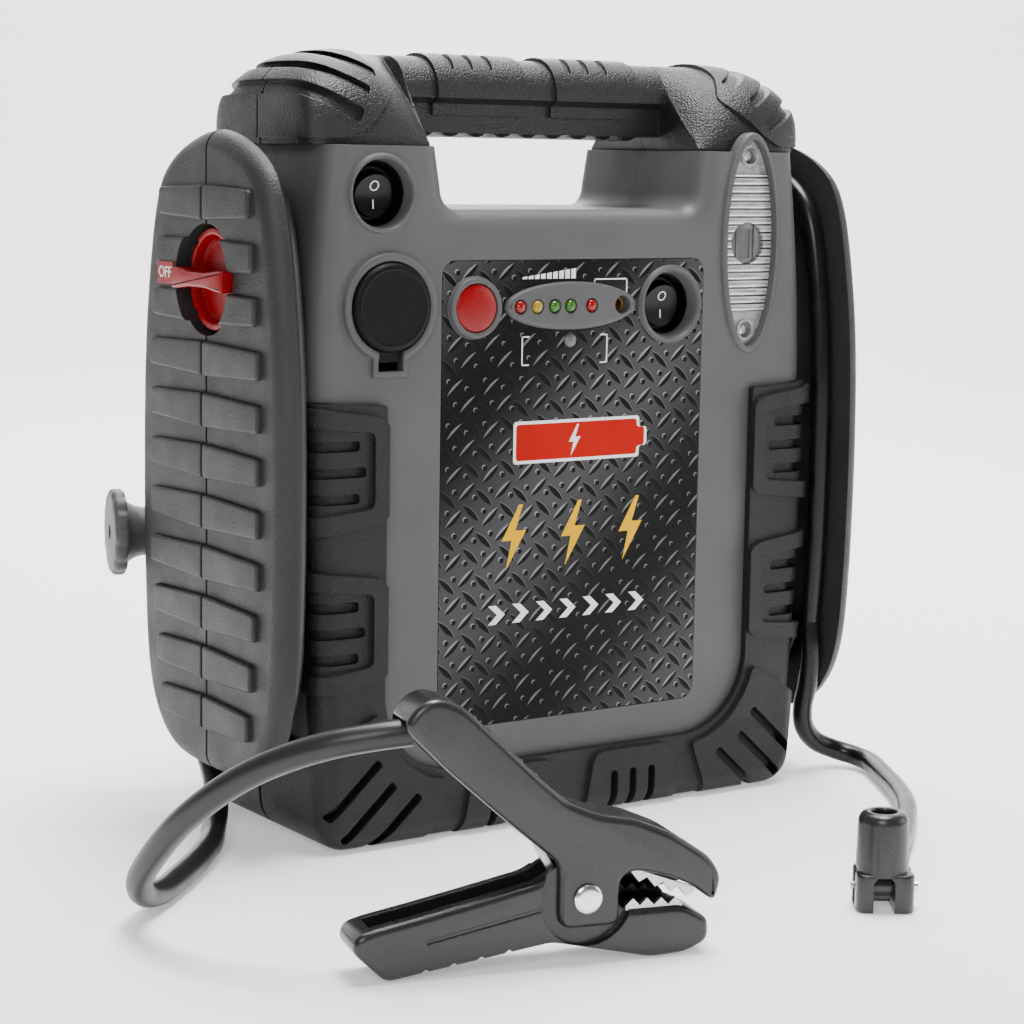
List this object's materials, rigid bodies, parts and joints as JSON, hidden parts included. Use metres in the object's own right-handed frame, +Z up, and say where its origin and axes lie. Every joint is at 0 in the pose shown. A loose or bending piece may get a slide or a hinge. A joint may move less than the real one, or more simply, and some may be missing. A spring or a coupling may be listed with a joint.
{
  "type": "jump starter pack",
  "caption": "Portable jump starter with carrying handle, corner bumpers, side reels, work light and front controls, a battery clamp on its cable and an air hose with tyre connector.",
  "frame": {"origin": "centre of the main unit at the level it stands on, without the loose cable, hose and what is on them", "axes": "+Z up, front controls facing -Y, +X to the right of somebody looking at the front"},
  "size_m": [0.3985, 0.3249, 0.3193],
  "materials": {
    "housing": "fine moulded texture, dark neutral grey",
    "bumper": "leather-like grain, black",
    "grip": "leather-like grain, black",
    "reel": "leather-like grain, charcoal",
    "label": "printed film, semi-gloss",
    "red_button": "smooth red",
    "red_lamp": "translucent red",
    "amber_lamp": "translucent amber",
    "green_lamp": "translucent green",
    "clear_lens": "clear moulded lens",
    "brass": "polished",
    "switch_black": "smooth black",
    "cap_rubber": "soft black",
    "reflector": "vacuum plated",
    "circuit_board": "lacquered",
    "steel": "zinc plated",
    "aluminium": "cast",
    "bright_metal": "bright plated",
    "cable": "semi-gloss jacket",
    "hose": "glossy jacket",
    "battery_case": "plain",
    "clamp_plastic": "satin black"
  },
  "bodies": {
    "unit": {"front_housing": "housing", "rear_housing": "housing", "front_bumper": "bumper", "rear_bumper": "bumper", "handle_front_cover": "grip", "handle_rear_cover": "grip", "left_reel_front": "reel", "left_reel_rear": "reel", "right_reel_front": "reel", "right_reel_rear": "reel", "left_parking_post": "reel", "right_parking_post": "reel", "label_plate": "label", "low_charge_lamp": "red_lamp", "half_charge_lamp": "amber_lamp", "good_charge_lamp": "green_lamp", "full_charge_lamp": "green_lamp", "charging_lamp": "red_lamp", "polarity_lamp": "clear_lens", "charge_jack": "brass", "power_switch_body": "switch_black", "light_switch_body": "switch_black", "dc_socket": "switch_black", "work_light_lens": "clear_lens", "work_light_reflector": "reflector", "work_light_board": "circuit_board", "upper_lens_screw": "steel", "lower_lens_screw": "steel", "master_switch_body": "switch_black", "off_plate": "red_button", "left_cable_winding": "cable", "right_hose_winding": "hose", "left_cable": "cable", "right_hose": "hose", "battery": "battery_case", "control_board": "circuit_board", "compressor_motor": "steel", "compressor_cylinder": "aluminium", "pressure_gauge": "switch_black", "gauge_lens": "clear_lens", "positive_cable_gland": "cap_rubber", "clamp_upper_handle": "clamp_plastic", "clamp_upper_jaw": "steel", "clamp_rivet": "bright_metal", "valve_connector_body": "clamp_plastic", "valve_pin": "bright_metal"},
    "master_knob": {"master_switch_knob": "red_button"},
    "power_rocker_body": {"power_rocker": "switch_black"},
    "light_rocker_body": {"light_rocker": "switch_black"},
    "compressor_rocker_body": {"compressor_rocker": "red_button"},
    "check_button": {"battery_check_button": "red_button"},
    "socket_cap": {"dc_socket_cap": "cap_rubber"},
    "clamp_lower": {"clamp_lower_handle": "clamp_plastic", "clamp_lower_jaw": "steel", "clamp_spring": "steel"},
    "connector_lever": {"valve_lever": "clamp_plastic"}
  },
  "joints": [
    {"name": "master_switch_turn", "type": "hinge", "parent": "unit", "child": "master_knob", "pos_m": [-0.1387, -0.0175, 0.2274], "axis": [1, 0, 0], "range_deg": [0, 90]},
    {"name": "power_rocker_tilt", "type": "hinge", "parent": "unit", "child": "power_rocker_body", "pos_m": [-0.095, -0.0511, 0.2625], "axis": [-1, 0, 0], "range_deg": [0, 14]},
    {"name": "light_rocker_tilt", "type": "hinge", "parent": "unit", "child": "light_rocker_body", "pos_m": [0.0487, -0.0511, 0.2166], "axis": [-1, 0, 0], "range_deg": [0, 14]},
    {"name": "compressor_rocker_tilt", "type": "hinge", "parent": "unit", "child": "compressor_rocker_body", "pos_m": [-0.045, 0.0681, 0.165], "axis": [1, 0, 0], "range_deg": [0, 12]},
    {"name": "check_button_press", "type": "slide", "parent": "unit", "child": "check_button", "axis": [0, 1, 0], "range_m": [0, 0.0025], "stiffness_N_per_m": 400, "springref_m": -0.001},
    {"name": "socket_cap_open", "type": "hinge", "parent": "unit", "child": "socket_cap", "pos_m": [-0.091, -0.0654, 0.1968], "axis": [1, 0, 0], "range_deg": [0, 110]},
    {"name": "clamp_squeeze", "type": "hinge", "parent": "unit", "child": "clamp_lower", "pos_m": [-0.1071, -0.21937, 0.0237], "axis": [0.2555, 0.9668, 0], "range_deg": [0, 14], "stiffness_Nm_per_rad": 4, "springref_deg": -17.19},
    {"name": "connector_lever_flip", "type": "hinge", "parent": "unit", "child": "connector_lever", "pos_m": [0.025, -0.2325, 0.0084], "axis": [-0.8241, 0.5664, 0], "range_deg": [0, 60]}
  ]
}
